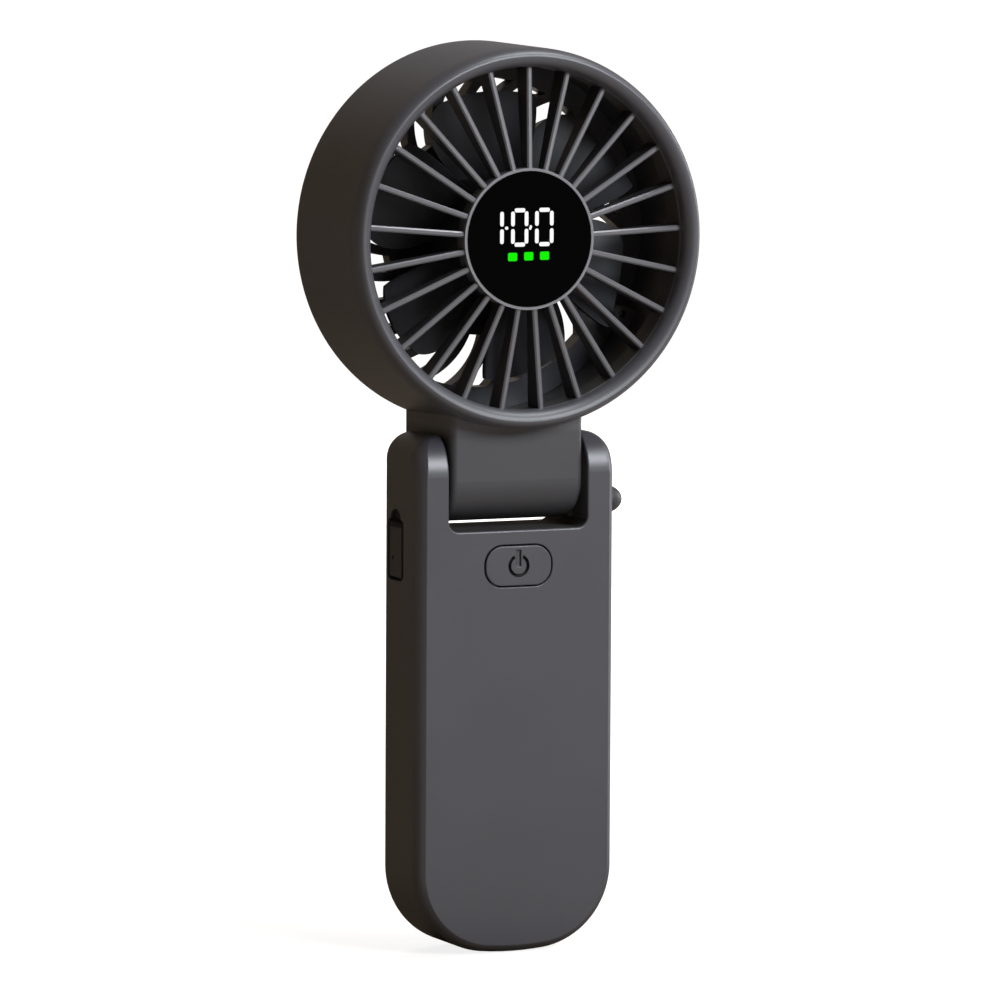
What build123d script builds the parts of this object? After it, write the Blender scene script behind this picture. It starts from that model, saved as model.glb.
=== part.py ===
from build123d import *
from math import cos, radians, sin
import os

# A folding hand-held fan, in millimetres. The front faces -Y, +Z is up, and the origin is under
# the middle of the handle's round end. The fold axis runs along X, the air blows towards -Y.

# Handle
HANDLE_W = 46.1
HANDLE_D = 19.5
HINGE_Z = 101.5
EDGE_FRONT_R = 3.9
EDGE_PROUD = 0.65
EDGE_CREASE_R = 0.3
EDGE_BACK_R = 2.4
FRONT_Y = -HANDLE_D / 2
BACK_Y = HANDLE_D / 2
HALF_W = HANDLE_W / 2
END_R = 67.0
END_CORNER_R = 17.7
SKIN = 1.8
SIDE_WALL = 3.4
LEDGE = 0.6
SEAM = 0.1
CAVITY_TOP = 88.7
COVER_CORNER = 2.0
INNER_FRONT_Y = FRONT_Y + SKIN
INNER_BACK_Y = BACK_Y - SKIN

# How far a cutter runs past the face it opens, and how near an edge counts as on a plane
OVERCUT = 1.0
NEAR = 0.01

# Fork at the top of the handle
SLOT_HALF = 16.2
SLOT_FLOOR = 90.9
SLOT_CORNER = 2.5
SLOT_EDGE_R = 0.4
ARM_TOP = HINGE_Z + 9.7
ARM_CROWN = 1.3
ARM_FRONT_R = 9.8
ARM_BACK_R = 3.2
ARM_CORNER_R = 5.8

# Fold hinge
AXLE_R = 2.95
FIT = 0.05
AXLE_BORE_R = AXLE_R + FIT
AXLE_END_X = 20.4
AXLE_BORE_END_X = 20.7
AXLE_FLANGE_R = 4.6
AXLE_FLANGE_T = 1.2
WIRE_BORE_R = 1.7
WASHER_R = 6.0
WASHER_T = 0.7
SPRING_R = 5.4
SPRING_T = 0.3
SPRING_RISE = 0.1
SPRING_COUNT = 3

# Neck
BARREL_R = 9.05
NECK_HALF = 15.4
NECK_WALL = 1.65
NECK_END_WALL = 3.0
NECK_EDGE_R = 1.5
NECK_SPLIT_Y = 1.0
NECK_BACK_Y = 14.9
NECK_FLARE_Z = HINGE_Z + 7.4
NECK_HEEL_R = 0.8
NECK_TOP_Z = 118.0
NECK_SCREW_X = 6.0
NECK_SCREW_Z = 107.0
WIRE_SLOT = (8.0, 3.0, 6.0)
WIRE_SLOT_Y = 3.5

# Head
HEAD_Z = 153.1
HEAD_R = 41.0
RIM_R = 40.45
HEAD_HALF_D = 15.8
BACK_EDGE_R = 1.0
RIM_Y = -11.6
CREST_R = 38.6
LIP_R = 36.3
LIP_Y = -13.0
LIP_BACK_Y = -12.7
DUCT_R = 38.6
DUCT_GAP = 0.1
REAR_BOSS_R = 1.9
REAR_BOSS_AT = 36.0
REAR_BOSS_Y = (5.0, 11.1)
REAR_SCREWS = 3

# Front grille with the display hub
SPOKES = 25
SPOKE_PHASE = 1.1
SPOKE_W = 1.2
SPOKE_CHAMFER = 0.3
SPOKE_INNER = (14.7, -14.0, -11.1)
SPOKE_OUTER = (36.9, -12.5, -6.8)
GRILLE_RING_BACK_Y = -6.0
HUB_R = 15.0
HUB_FRONT_Y = -14.4
HUB_BACK_Y = -10.6
HUB_FLOOR = 0.8
LENS_R = 14.35
LENS_SEAT_R = 14.4
LENS_T = 1.0
LENS_RECESS = 0.1
HUB_CAVITY_R = 13.4
DISPLAY_R = 12.6
DISPLAY_T = 0.85
DISPLAY_BOARD_R = 13.3
DISPLAY_BOARD_T = 1.0

# Rear grille
REAR_RIBS = 25
RIB_W = 2.0
RIB_FRONT_Y = 11.2
RIB_BACK_Y = 15.3
RIB_TWIST = -20.0
RIB_MID_TWIST = -7.0
REAR_OPEN_R = 33.3
REAR_RING_Y = 11.1
REAR_HUB_R = 22.0
REAR_HUB_Y = (10.4, 15.0)
REAR_HUB_EDGE_R = 1.2
REAR_HUB_WALL = 1.8
MOTOR_SEAT_R = 9.5

# Impeller: each blade section is (radius, trailing edge, leading edge, half depth)
BLADES = 6
BLADE_PHASE = -8.5
BLADE_SECTIONS = (
    (12.6, 5.8, -6.4, 4.6),
    (18.0, 7.6, -9.8, 4.8),
    (23.5, 9.4, -11.4, 4.7),
    (28.5, 10.2, -9.6, 4.1),
    (31.4, 9.0, -4.6, 3.4),
)
BLADE_T = 1.3
BLADE_EDGE_T = 0.6
BLADE_CAMBER = 1.6
BLADE_TIP_R = 30.7
IMPELLER_HUB_R = 13.5
IMPELLER_HUB_Y = (-7.4, 6.0)
IMPELLER_HUB_WALL = 1.4
IMPELLER_NOSE_R = 2.5

# Motor
CAN_R = 12.05
CAN_Y = (-6.0, 5.0)
CAN_T = 0.8
CAN_BOSS_R = 2.2
CAN_BOSS_BACK_Y = -4.6
MAGNET_R = (9.95, 11.2)
MAGNET_Y = (-3.6, 4.4)
STATOR_R = 9.5
STATOR_Y = (-2.6, 3.4)
STATOR_TEETH = 9
TOOTH_W = 1.3
TOOTH_RIM = 1.1
TOOTH_GAP = 1.0
YOKE_R = 5.0
COIL_R = (5.4, 8.2)
COIL_T = 0.7
COIL_CLEAR = 0.03
SHAFT_R = 1.0
SHAFT_Y = (-5.95, 9.4)
BEARING_R = 2.5
BEARING_BORE_R = 1.03
BEARING_W = 2.0
FRONT_BEARING_Y = -4.0
REAR_BEARING_Y = 5.6
TUBE_BORE_R = 2.52
TUBE_STEPS = ((3.6, -4.2), (4.3, 3.5), (5.4, 8.2), (8.0, 9.4))
TUBE_BACK_Y = 10.4
MOTOR_BOARD_R = (4.35, 9.8)
MOTOR_BOARD_Y = (7.2, 8.2)
CLIP_R = 1.9
CLIP_Y = (7.9, 8.4)
CLIP_GROOVE = 0.2
PRESS = 0.01
TUBE_END_GAP = 0.3

# Inside the handle
BATTERY = (32.0, 12.4, 48.0)
BATTERY_Z = 37.5
BATTERY_EDGE_R = 2.0
TAPE_T = 0.75
PAD_SIZE = (24.0, 36.0)
BOARD_W = 37.4
BOARD_Z = (67.5, 88.3)
BOARD_Y = (0.05, 1.25)
BOARD_BOSS_XZ = (15.0, 71.0)
COVER_SCREW_LOW = (11.0, 9.4)
COVER_SCREW_HIGH = (16.0, 64.4)
BOSS_R = 2.2
SCREW_R = 0.75
SCREW_FIT = 0.04
SCREW_HEAD_R = 1.6
SCREW_HEAD_T = 0.9
SCREW_TIP_GAP = 1.0
PILOT_Y = INNER_FRONT_Y + 2.0
COVER_PILOT_Y = 0.0
BOARD_CHIPS = (
    (-4.0, 78.0, 5.0, 5.0, 0.9),
    (6.0, 76.0, 6.0, 6.0, 3.0),
    (12.5, 83.0, 4.0, 2.0, 1.0),
    (-9.0, 71.5, 4.0, 3.0, 1.1),
)

# Power button and its switch
BUTTON_Z = 83.3
BUTTON_W = 15.6
BUTTON_H = 8.8
BUTTON_CORNER = 4.0
BUTTON_GAP = 0.15
BUTTON_PROUD = 0.15
BUTTON_EDGE_R = 0.25
BUTTON_HOLE_R = 0.2
BUTTON_FLANGE = 0.9
BUTTON_FLANGE_T = 0.8
BUTTON_FLANGE_GAP = 0.1
BUTTON_STEM_R = 2.0
BUTTON_TRAVEL = 0.5
SWITCH_W = 6.0
SWITCH_H = 3.4
PLUNGER_R = 1.6
PLUNGER_RISE = 0.9
PLUNGER_DEPTH = 0.8

# Charging port and its cover, on the left side
PORT_Y = 2.9
PORT_W = 7.0
PORT_GAP = 0.65
PORT_DEPTH = 1.6
PORT_TOP_Z = 92.3
COVER_T = 1.2
COVER_HINGE_X = -HALF_W + COVER_T / 2
COVER_HINGE_Z = 81.0
COVER_LOW_R = 1.5
COVER_HIGH_R = 0.6
COVER_SOFT_R = 0.4
PORT_LOW_GAP = 0.6
PORT_LOW_R = 1.7
NOTCH_R = 2.9
NOTCH_DEPTH = 1.1
DIMPLE = (4.3, 84.6, 0.45, 0.4)
SOCKET_Z = 85.3
SOCKET_W = 8.94
SOCKET_T = 3.26
SOCKET_WALL = 0.3
SOCKET_END_FLAT = 0.1
SOCKET_X = (-20.8, -13.6)
SOCKET_FLOOR = 1.2
TONGUE = (4.6, 0.7, 6.6)
POCKET_GAP = 0.12

# Lanyard post on the right side
POST_Z = 95.8
POST_R = 1.7
POST_FOOT_X = 20.0
POST_HEAD_X = 24.2
POST_HEAD_R = 3.0
POST_SHOULDER_R = 0.6
POST_END_X = 28.6

HEAD_AXIS = Axis((0, 0, HEAD_Z), (0, 1, 0))
FOLD_AXIS = Axis((0, 0, HINGE_Z), (1, 0, 0))
HEAD_PLANE = Plane((0, 0, HEAD_Z), x_dir=(1, 0, 0), z_dir=(0, 0, 1))
FOLD_PLANE = Plane((0, 0, HINGE_Z), x_dir=(1, 0, 0), z_dir=(0, 0, 1))


def slab(sketch, y0, y1):
    """A front-view sketch, in X and Z, carried from y0 back to y1."""
    return extrude(Plane.XZ.offset(-y1) * sketch, y1 - y0)


def side_slab(sketch, x0, x1):
    """A side-view sketch, in Y and Z, carried from x0 to x1."""
    return extrude(Plane.YZ.offset(x0) * sketch, x1 - x0)


def disc(radius, y0, y1, x=0.0, z=HEAD_Z):
    """A round bar along Y."""
    return slab(Pos(x, z) * Circle(radius), y0, y1)


def tube(inner, outer, y0, y1, x=0.0, z=HEAD_Z):
    """A round tube along Y."""
    return slab(Pos(x, z) * (Circle(outer) - Circle(inner)), y0, y1)


def rod(radius, x0, x1, y=0.0, z=HINGE_Z):
    """A round bar along X."""
    return side_slab(Pos(y, z) * Circle(radius), x0, x1)


def block(x0, x1, y0, y1, z0, z1):
    """A box between two corners."""
    middle = Pos((x0 + x1) / 2, (y0 + y1) / 2, (z0 + z1) / 2)
    return middle * Box(x1 - x0, y1 - y0, z1 - z0)


def around_head(piece, count):
    """The same piece repeated evenly about the head's axis."""
    return [piece.rotate(HEAD_AXIS, 360 * i / count) for i in range(count)]


def screw(x, z, head_y, tip_y):
    """A pan-head screw driven from the back, its head seated at head_y."""
    head = disc(SCREW_HEAD_R, head_y, head_y + SCREW_HEAD_T, x, z)
    return disc(SCREW_R, tip_y, head_y, x, z) + head


def handle_outline(inset, top, corner=0.0):
    """Front view of the handle: straight sides, round lower corners and a shallow arc below."""
    sketch = Pos(0, top / 2) * Rectangle(HANDLE_W - 2 * inset, top)
    sketch = sketch & Pos(0, END_R) * Circle(END_R - inset)
    sketch = fillet(sketch.vertices().group_by(Axis.Y)[0], END_CORNER_R - inset)
    if corner:
        sketch = fillet(sketch.vertices().group_by(Axis.Y)[-1], corner)
    return sketch


def cover_screw_places():
    """Where the back cover's four screws stand, in X and Z."""
    return [(side * x, z) for x, z in (COVER_SCREW_LOW, COVER_SCREW_HIGH) for side in (-1, 1)]


def board_screw_places():
    """Where the board's two screws stand, in X and Z."""
    return [(side * BOARD_BOSS_XZ[0], BOARD_BOSS_XZ[1]) for side in (-1, 1)]


def button_outline(grow):
    """Front view of the power button, grown or shrunk all round."""
    sketch = RectangleRounded(BUTTON_W + 2 * grow, BUTTON_H + 2 * grow, BUTTON_CORNER + grow)
    return Pos(0, BUTTON_Z) * sketch


def port_outline(side_gap, low_gap, low_r):
    """Side view of the port cover or of its pocket: rounded below, nearly square above."""
    low = COVER_HINGE_Z - COVER_T / 2 - low_gap
    high = PORT_TOP_Z + side_gap
    sketch = Pos(PORT_Y, (low + high) / 2) * Rectangle(PORT_W + 2 * side_gap, high - low)
    sketch = fillet(sketch.vertices().group_by(Axis.Y)[0], low_r)
    return fillet(sketch.vertices().group_by(Axis.Y)[-1], COVER_HIGH_R + side_gap)


def socket_outline(grow):
    """Side view of the charging socket: a slot with round ends."""
    width = SOCKET_T + 2 * grow
    corner = width / 2 - SOCKET_END_FLAT
    return Pos(PORT_Y, SOCKET_Z) * RectangleRounded(width, SOCKET_W + 2 * grow, corner)


def arm_profile(proud):
    """Side view of the handle, its front moved out by proud, rounded at the top of the arms."""
    front = FRONT_Y - proud
    peak = ARM_TOP + ARM_CROWN
    side = Pos((front + BACK_Y) / 2, peak / 2) * Rectangle(BACK_Y - front, peak)
    side = fillet(side.vertices().sort_by_distance((front, peak))[0], ARM_FRONT_R + proud)
    side = fillet(side.vertices().sort_by_distance((BACK_Y, peak))[0], ARM_BACK_R)
    return side_slab(side, -HALF_W - OVERCUT, HALF_W + OVERCUT)


def handle_bar(proud):
    """The handle as a solid bar with sharp edges round its front and its back."""
    bar = slab(handle_outline(0, ARM_TOP, ARM_CORNER_R), FRONT_Y - proud, BACK_Y)
    return bar & arm_profile(proud)


def edge_loop(bar, y0, y1):
    """The edges that run round the front or the back of the bar, between two depths."""
    loop = bar.edges() - bar.edges().filter_by(Axis.Y)
    return loop.filter_by_position(Axis.Y, y0, y1)


def handle_block():
    """The handle as a solid bar: its front edge's round ends in a crease, its back edge is soft."""
    front = handle_bar(EDGE_PROUD)
    front = fillet(edge_loop(front, -HANDLE_D, -OVERCUT), EDGE_FRONT_R) & arm_profile(0)
    back = handle_bar(0)
    bar = front & fillet(edge_loop(back, OVERCUT, HANDLE_D), EDGE_BACK_R)
    face = bar.faces().filter_by(GeomType.PLANE).sort_by(Axis.Y)[0]
    return fillet(face.edges().sort_by(Axis.Z)[0], EDGE_CREASE_R)


def fork_cut(body):
    """Opens the slot between the two arms and softens its edges."""
    slot = Rectangle(2 * SLOT_HALF, NECK_TOP_Z - SLOT_FLOOR)
    slot = Pos(0, (SLOT_FLOOR + NECK_TOP_Z) / 2) * slot
    slot = fillet(slot.vertices().group_by(Axis.Y)[0], SLOT_CORNER)
    body = body - slab(slot, FRONT_Y - OVERCUT, BACK_Y + OVERCUT)
    mouth = body.edges().filter_by_position(Axis.X, -SLOT_HALF - NEAR, SLOT_HALF + NEAR)
    mouth = mouth.filter_by_position(Axis.Z, SLOT_FLOOR - NEAR, ARM_TOP)
    floor_lines = mouth.filter_by(Axis.Y).filter_by_position(Axis.Z, SLOT_FLOOR - NEAR, HINGE_Z)
    return fillet(mouth - floor_lines, SLOT_EDGE_R)


def handle_cavity():
    """The space inside the tub, less the posts that take the screws."""
    cavity = slab(handle_outline(SIDE_WALL, CAVITY_TOP, COVER_CORNER), INNER_FRONT_Y, BACK_Y + OVERCUT)
    for x, z in cover_screw_places():
        cavity = cavity - disc(BOSS_R, INNER_FRONT_Y, INNER_BACK_Y, x, z)
    for x, z in board_screw_places():
        cavity = cavity - disc(BOSS_R, INNER_FRONT_Y, BOARD_Y[0], x, z)
    rebate = handle_outline(SIDE_WALL - LEDGE, CAVITY_TOP + LEDGE, COVER_CORNER)
    return cavity + slab(rebate, INNER_BACK_Y, BACK_Y + OVERCUT)


def button_hole(body):
    """Opens the hole of the power button and softens its front edge."""
    body = body - slab(button_outline(BUTTON_GAP), FRONT_Y - OVERCUT, INNER_FRONT_Y + OVERCUT)
    reach = BUTTON_H / 2 + OVERCUT
    rim = body.edges().filter_by_position(Axis.Y, FRONT_Y - NEAR, FRONT_Y + NEAR)
    rim = rim.filter_by_position(Axis.Z, BUTTON_Z - reach, BUTTON_Z + reach)
    return fillet(rim.filter_by_position(Axis.X, -BUTTON_W, BUTTON_W), BUTTON_HOLE_R)


def handle_body():
    """The front tub with the two arms of the fork."""
    body = fork_cut(handle_block()) - handle_cavity()
    pilot_r = SCREW_R + SCREW_FIT
    for x, z in cover_screw_places():
        body = body - disc(pilot_r, COVER_PILOT_Y, INNER_BACK_Y, x, z)
    for x, z in board_screw_places():
        body = body - disc(pilot_r, PILOT_Y, BOARD_Y[0], x, z)
    body = button_hole(body)
    pocket = port_outline(PORT_GAP, PORT_LOW_GAP, PORT_LOW_R)
    body = body - side_slab(pocket, -HALF_W - OVERCUT, -HALF_W + PORT_DEPTH)
    body = body - rod(NOTCH_R, -HALF_W - OVERCUT, -HALF_W + NOTCH_DEPTH, PORT_Y, PORT_TOP_Z)
    body = body - side_slab(socket_outline(POCKET_GAP), -HALF_W, SOCKET_X[1] + POCKET_GAP)
    for side in (-1, 1):
        body = body - rod(AXLE_BORE_R, *sorted((side * SLOT_HALF, side * AXLE_BORE_END_X)))
    channel_x = -(SLOT_HALF + AXLE_BORE_END_X) / 2
    channel = Plane((channel_x, 0, CAVITY_TOP - OVERCUT)) * Circle(WIRE_BORE_R)
    body = body - extrude(channel, HINGE_Z - CAVITY_TOP + OVERCUT)
    return body - rod(POST_R + SCREW_FIT, POST_FOOT_X, HALF_W + OVERCUT, 0, POST_Z)


def handle_back_cover():
    """The flush back panel, held by four screws."""
    sketch = handle_outline(SIDE_WALL - LEDGE + SEAM, CAVITY_TOP + LEDGE - SEAM, COVER_CORNER)
    cover = slab(sketch, INNER_BACK_Y, BACK_Y)
    cover = chamfer(cover.faces().sort_by(Axis.Y)[-1].edges(), SEAM)
    for x, z in cover_screw_places():
        hole_y = (INNER_BACK_Y - OVERCUT, BACK_Y + OVERCUT)
        cover = cover - disc(SCREW_R + 2 * SCREW_FIT, *hole_y, x, z)
        seat = BACK_Y - SCREW_HEAD_T - SEAM
        cover = cover - disc(SCREW_HEAD_R + SEAM, seat, BACK_Y + OVERCUT, x, z)
    return cover


def back_cover_screws():
    """The four screws of the back cover, their heads just below its face."""
    seat = BACK_Y - SCREW_HEAD_T - SEAM
    tip = COVER_PILOT_Y + SCREW_TIP_GAP
    return Compound(children=[screw(x, z, seat, tip) for x, z in cover_screw_places()])


def battery_cell():
    """A flat pouch cell with soft edges, taped to the front wall."""
    width, depth, height = BATTERY
    front = INNER_FRONT_Y + TAPE_T
    low, high = BATTERY_Z - height / 2, BATTERY_Z + height / 2
    cell = block(-width / 2, width / 2, front, front + depth, low, high)
    return fillet(cell.edges().filter_by(Axis.Z), BATTERY_EDGE_R)


def battery_pad(y0, y1):
    """A flat pad against one face of the cell."""
    width, height = PAD_SIZE
    return block(-width / 2, width / 2, y0, y1, BATTERY_Z - height / 2, BATTERY_Z + height / 2)


def battery_tape():
    """The tape that holds the cell to the front wall."""
    return battery_pad(INNER_FRONT_Y, INNER_FRONT_Y + TAPE_T)


def battery_foam():
    """The foam pad that the back cover presses on the cell."""
    return battery_pad(INNER_FRONT_Y + TAPE_T + BATTERY[1], INNER_BACK_Y)


def main_board():
    """The circuit board behind the power button."""
    board = block(-BOARD_W / 2, BOARD_W / 2, *BOARD_Y, *BOARD_Z)
    for x, z in board_screw_places():
        hole_y = (BOARD_Y[0] - OVERCUT, BOARD_Y[1] + OVERCUT)
        board = board - disc(SCREW_R + 2 * SCREW_FIT, *hole_y, x, z)
    return board


def board_screws():
    """The two screws that hold the board to its posts."""
    tip = PILOT_Y + SCREW_TIP_GAP
    return Compound(children=[screw(x, z, BOARD_Y[1], tip) for x, z in board_screw_places()])


def board_components():
    """The charging chip, boost coil and two small parts on the back of the board."""
    chips = []
    for x, z, width, height, rise in BOARD_CHIPS:
        y0, y1 = BOARD_Y[1], BOARD_Y[1] + rise
        chips.append(block(x - width / 2, x + width / 2, y0, y1, z - height / 2, z + height / 2))
    return Compound(children=chips)


def power_switch():
    """The tact switch on the front of the board, with a well for its plunger."""
    half = SWITCH_W / 2
    front = BOARD_Y[0] - SWITCH_H
    body = block(-half, half, front, BOARD_Y[0], BUTTON_Z - half, BUTTON_Z + half)
    well = PLUNGER_DEPTH + BUTTON_TRAVEL + BUTTON_GAP
    return body - disc(PLUNGER_R + FIT, front - OVERCUT, front + well, 0, BUTTON_Z)


def switch_plunger():
    """The switch's moving plunger, which the button's stem rests on."""
    front = BOARD_Y[0] - SWITCH_H
    return disc(PLUNGER_R, front - PLUNGER_RISE, front + PLUNGER_DEPTH, 0, BUTTON_Z)


def power_button():
    """The button cap, its inner flange and the stem that meets the plunger."""
    front = FRONT_Y - BUTTON_PROUD
    flange_y = INNER_FRONT_Y + BUTTON_FLANGE_GAP
    cap = slab(button_outline(-BUTTON_GAP), front, flange_y)
    cap = fillet(cap.faces().sort_by(Axis.Y)[0].edges(), BUTTON_EDGE_R)
    flange = slab(button_outline(BUTTON_FLANGE), flange_y, flange_y + BUTTON_FLANGE_T)
    stem = disc(BUTTON_STEM_R, flange_y, BOARD_Y[0] - SWITCH_H - PLUNGER_RISE, 0, BUTTON_Z)
    return cap + flange + stem


def usb_socket():
    """The charging socket: a rolled steel shell with a contact tongue."""
    x0, x1 = SOCKET_X
    shell = side_slab(socket_outline(0), x0, x1)
    shell = shell - side_slab(socket_outline(-SOCKET_WALL), x0 - OVERCUT, x1 - SOCKET_FLOOR)
    length, thick, height = TONGUE
    tongue_x = x1 - SOCKET_FLOOR
    half = thick / 2
    low, high = SOCKET_Z - height / 2, SOCKET_Z + height / 2
    return shell + block(tongue_x - length, tongue_x, PORT_Y - half, PORT_Y + half, low, high)


def port_cover():
    """The soft cover of the port, a plate that turns on the roll at its lower edge."""
    low, high = COVER_HINGE_Z, PORT_TOP_Z
    half = PORT_W / 2
    plate = block(-HALF_W, -HALF_W + COVER_T, PORT_Y - half, PORT_Y + half, low, high)
    outer = plate.faces().sort_by(Axis.X)[0].edges()
    plate = fillet(outer - outer.group_by(Axis.Z)[0], COVER_SOFT_R)
    roll = disc(COVER_T / 2, PORT_Y - half, PORT_Y + half, COVER_HINGE_X, COVER_HINGE_Z)
    cover = (plate + roll) & side_slab(port_outline(0, 0, COVER_LOW_R), -HALF_W - OVERCUT, 0)
    y, z, radius, depth = DIMPLE
    return cover - rod(radius, -HALF_W - OVERCUT, -HALF_W + depth, y, z)


def lanyard_post():
    """A mushroom-headed post pressed into the right arm."""
    plane = Plane((0, 0, POST_Z), x_dir=(1, 0, 0), z_dir=(0, 0, 1))
    with BuildSketch(plane) as profile:
        with BuildLine():
            Polyline((POST_END_X, 0), (POST_FOOT_X, 0), (POST_FOOT_X, POST_R), (POST_HEAD_X, POST_R))
            edge = (POST_HEAD_X, POST_HEAD_R - POST_SHOULDER_R)
            shoulder = (POST_HEAD_X + POST_SHOULDER_R, POST_HEAD_R)
            Line((POST_HEAD_X, POST_R), edge)
            RadiusArc(edge, shoulder, POST_SHOULDER_R)
            reach = POST_END_X - shoulder[0]
            EllipticalCenterArc((shoulder[0], 0), reach, POST_HEAD_R, start_angle=0, arc_size=90)
        make_face()
    return revolve(profile.sketch, Axis((0, 0, POST_Z), (1, 0, 0)))


def hinge_washer(side):
    """A slip washer between an arm and the barrel."""
    middle = side * (SLOT_HALF + NECK_HALF) / 2
    x0, x1 = middle - WASHER_T / 2, middle + WASHER_T / 2
    return rod(WASHER_R, x0, x1) - rod(AXLE_BORE_R, x0 - OVERCUT, x1 + OVERCUT)


def hinge_washer_left():
    """The slip washer of the left arm."""
    return hinge_washer(-1)


def hinge_washer_right():
    """The slip washer of the right arm."""
    return hinge_washer(1)


def hinge_axle(side, flange_x, bore):
    """A flanged axle fixed in the barrel's end wall and turning in the arm."""
    inner = flange_x - AXLE_FLANGE_T
    axle = rod(AXLE_FLANGE_R, inner, flange_x) + rod(AXLE_R, flange_x, AXLE_END_X)
    if bore:
        axle = axle - rod(bore, inner - OVERCUT, AXLE_END_X + OVERCUT)
    return axle if side > 0 else mirror(axle, Plane.YZ)


def spring_stack():
    """The height of the pressed stack of cupped washers."""
    return SPRING_COUNT * (SPRING_T + SPRING_RISE)


def hinge_axle_left():
    """The hollow axle that lets the wires through."""
    return hinge_axle(-1, NECK_HALF - NECK_END_WALL, WIRE_BORE_R)


def hinge_axle_right():
    """The solid axle behind the cupped washers."""
    return hinge_axle(1, NECK_HALF - NECK_END_WALL - spring_stack(), 0)


def friction_springs():
    """Cupped washers that press the right axle's flange and give the hinge its drag."""
    springs = []
    start = NECK_HALF - NECK_END_WALL - spring_stack()
    bore = AXLE_BORE_R + FIT
    for i in range(SPRING_COUNT):
        x = start + i * (SPRING_T + SPRING_RISE)
        with BuildSketch(FOLD_PLANE) as profile:
            with BuildLine():
                low = x + SPRING_RISE
                foot = [(low, bore), (low + SPRING_T, bore)]
                Polyline(*foot, (x + SPRING_T, SPRING_R), (x, SPRING_R), close=True)
            make_face()
        springs.append(revolve(profile.sketch, FOLD_AXIS))
    return Compound(children=springs)


def neck_side(inset):
    """Side view of the neck: the barrel, the flat front and the deeper foot under the drum."""
    radius = BARREL_R - inset
    barrel = Pos(0, HINGE_Z) * Circle(radius)
    tall = Pos(0, (HINGE_Z + NECK_TOP_Z) / 2) * Rectangle(2 * radius, NECK_TOP_Z - HINGE_Z)
    low = NECK_FLARE_Z + inset
    back = NECK_BACK_Y - inset
    foot = Pos(back / 2, (low + NECK_TOP_Z) / 2) * Rectangle(back, NECK_TOP_Z - low)
    corner = foot.vertices().sort_by_distance((back, low))[0]
    return barrel + tall + fillet(corner, NECK_HEEL_R)


def drum_block(grow):
    """The outside of the drum as a solid that narrows a little towards the rim, grown all round."""
    middle = Plane((0, (RIM_Y + HEAD_HALF_D) / 2, HEAD_Z), x_dir=(1, 0, 0), z_dir=(0, 1, 0))
    return middle * Cone(RIM_R + grow, HEAD_R + grow, HEAD_HALF_D - RIM_Y)


def neck_block():
    """The neck as one closed form, hollow inside, before it is cut into its two halves."""
    neck = side_slab(neck_side(0), -NECK_HALF, NECK_HALF)
    neck = fillet(neck.edges().filter_by(Axis.Z).group_by(Axis.Y)[0], NECK_EDGE_R)
    hollow_half = NECK_HALF - NECK_END_WALL
    hollow = side_slab(neck_side(NECK_WALL), -hollow_half, hollow_half)
    hollow = hollow - drum_block(0)
    for side in (-1, 1):
        hollow = hollow - disc(BOSS_R, -HANDLE_D, HANDLE_D, side * NECK_SCREW_X, NECK_SCREW_Z)
    neck = neck - hollow - rod(AXLE_BORE_R, -NECK_HALF - OVERCUT, NECK_HALF + OVERCUT)
    seat = BARREL_R - SCREW_HEAD_T - SEAM
    for side in (-1, 1):
        place = (side * NECK_SCREW_X, NECK_SCREW_Z)
        neck = neck - disc(SCREW_R + SCREW_FIT, PILOT_Y, seat, *place)
        neck = neck - disc(SCREW_HEAD_R + SEAM, seat, BARREL_R + OVERCUT, *place)
    return neck


def neck_half(front):
    """One half of the neck, cut at the parting plane."""
    reach = HANDLE_W
    y0, y1 = (-reach, NECK_SPLIT_Y) if front else (NECK_SPLIT_Y, reach)
    return neck_block() & block(-reach, reach, y0, y1, 0, HEAD_Z)


def neck_screws():
    """The two screws that close the neck from behind."""
    seat = BARREL_R - SCREW_HEAD_T - SEAM
    tip = PILOT_Y + SCREW_TIP_GAP
    places = [side * NECK_SCREW_X for side in (-1, 1)]
    return Compound(children=[screw(x, NECK_SCREW_Z, seat, tip) for x in places])


def rear_boss():
    """A post on the duct wall that takes one screw of the rear grille."""
    post = Pos(0, REAR_BOSS_AT) * Circle(REAR_BOSS_R)
    web = HEAD_R - REAR_BOSS_AT
    post = post + Pos(0, REAR_BOSS_AT + web / 2) * Rectangle(2 * REAR_BOSS_R, web)
    post = post - Pos(0, REAR_BOSS_AT) * Circle(SCREW_R + SCREW_FIT)
    return slab(Pos(0, HEAD_Z) * post, *REAR_BOSS_Y)


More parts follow.
